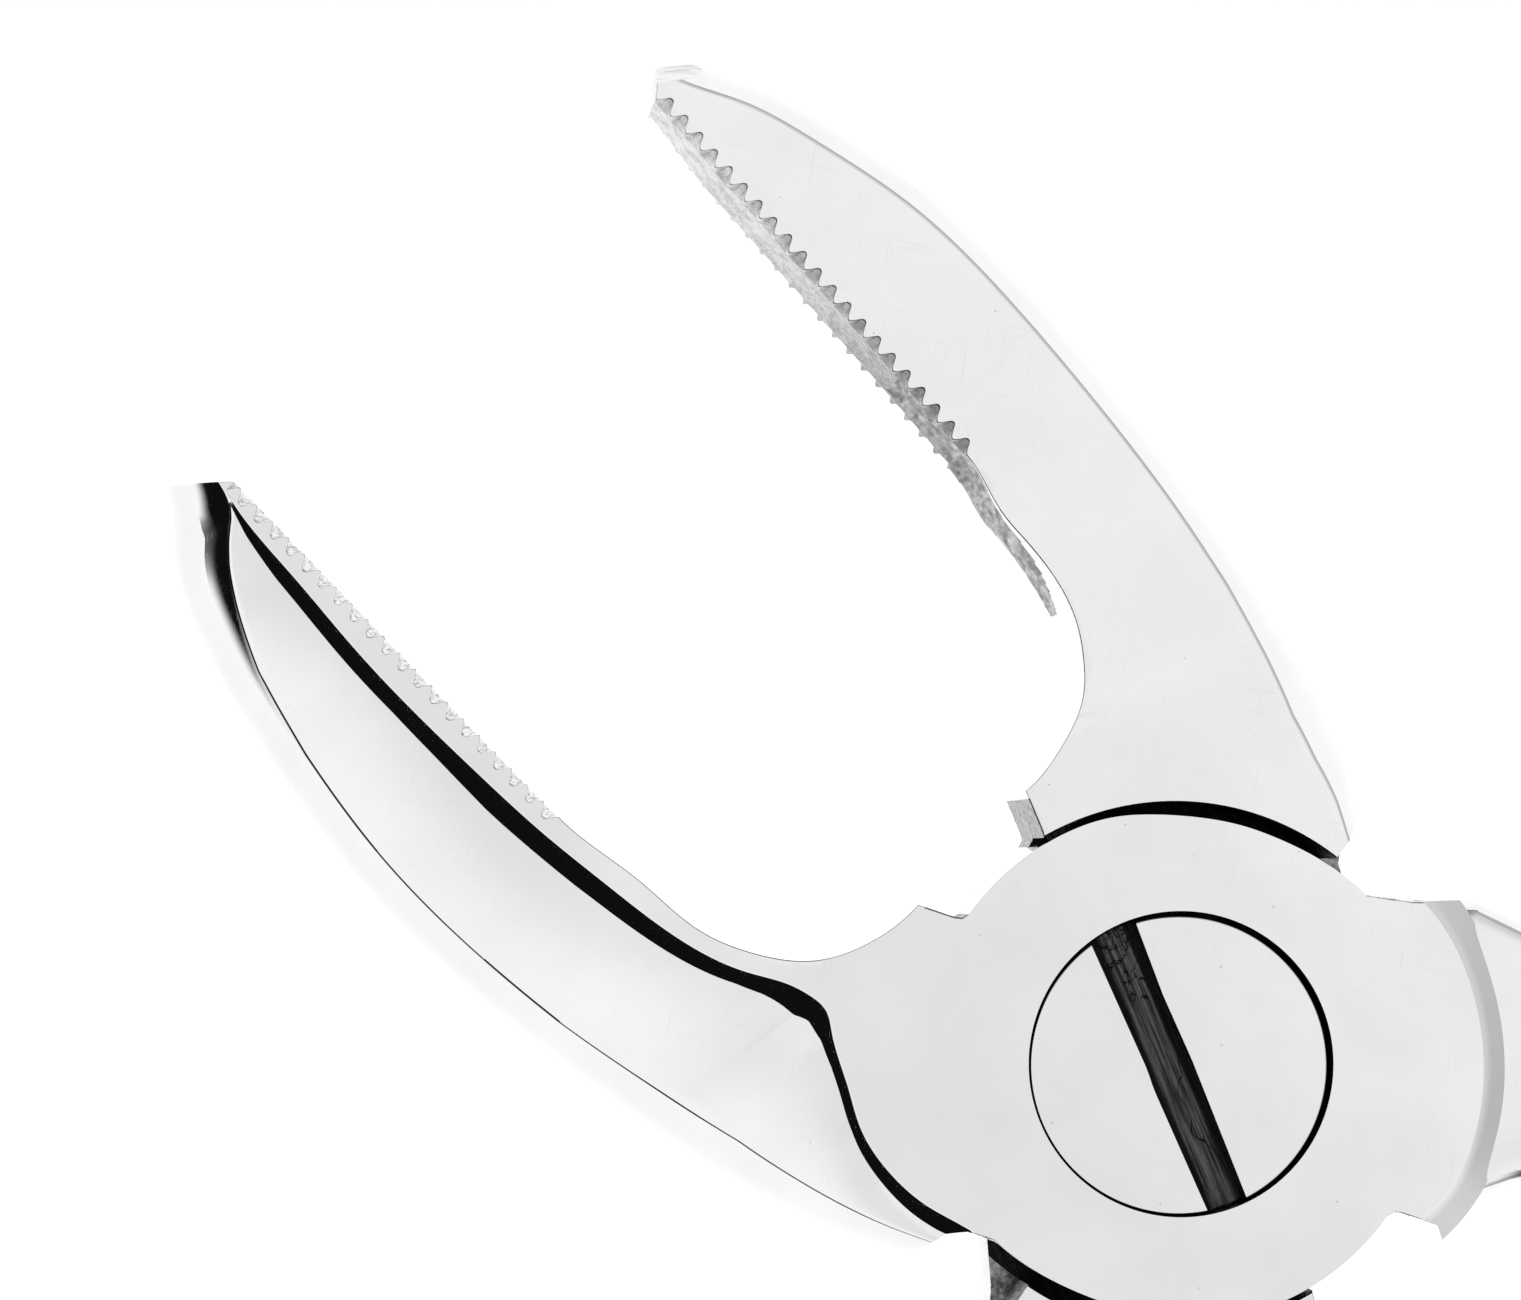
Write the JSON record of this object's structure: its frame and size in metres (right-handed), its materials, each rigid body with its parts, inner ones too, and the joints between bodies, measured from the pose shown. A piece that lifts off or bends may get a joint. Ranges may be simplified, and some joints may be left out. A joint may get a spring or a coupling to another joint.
{
  "type": "nutcracker",
  "caption": "Crossing-lever nutcracker: two claw jaws with toothed edges, a lap-joint pivot with a flush slotted screw, and two handles.",
  "frame": {"origin": "on the pivot axis, at the flat back face of the pivot disc that the tool lies on", "axes": "+Y along the tool towards the jaws, +Z out of the front face where the slotted screw head is, +X towards the rear lever's jaw"},
  "size_m": [0.083, 0.1691, 0.014],
  "materials": {
    "polished_lever": "mirror-polished plate with fine hairlines",
    "polished_fastener": "polished face, streaky unpolished slot"
  },
  "bodies": {
    "front": {"front_lever": "polished_lever", "pivot_screw": "polished_fastener", "pivot_nut": "polished_fastener"},
    "rear": {"rear_lever": "polished_lever"}
  },
  "joints": [
    {"name": "jaw_pivot", "type": "hinge", "parent": "front", "child": "rear", "pos_m": [0, 0, 0.007], "axis": [0, 0, 1], "range_deg": [-12, 24]}
  ]
}
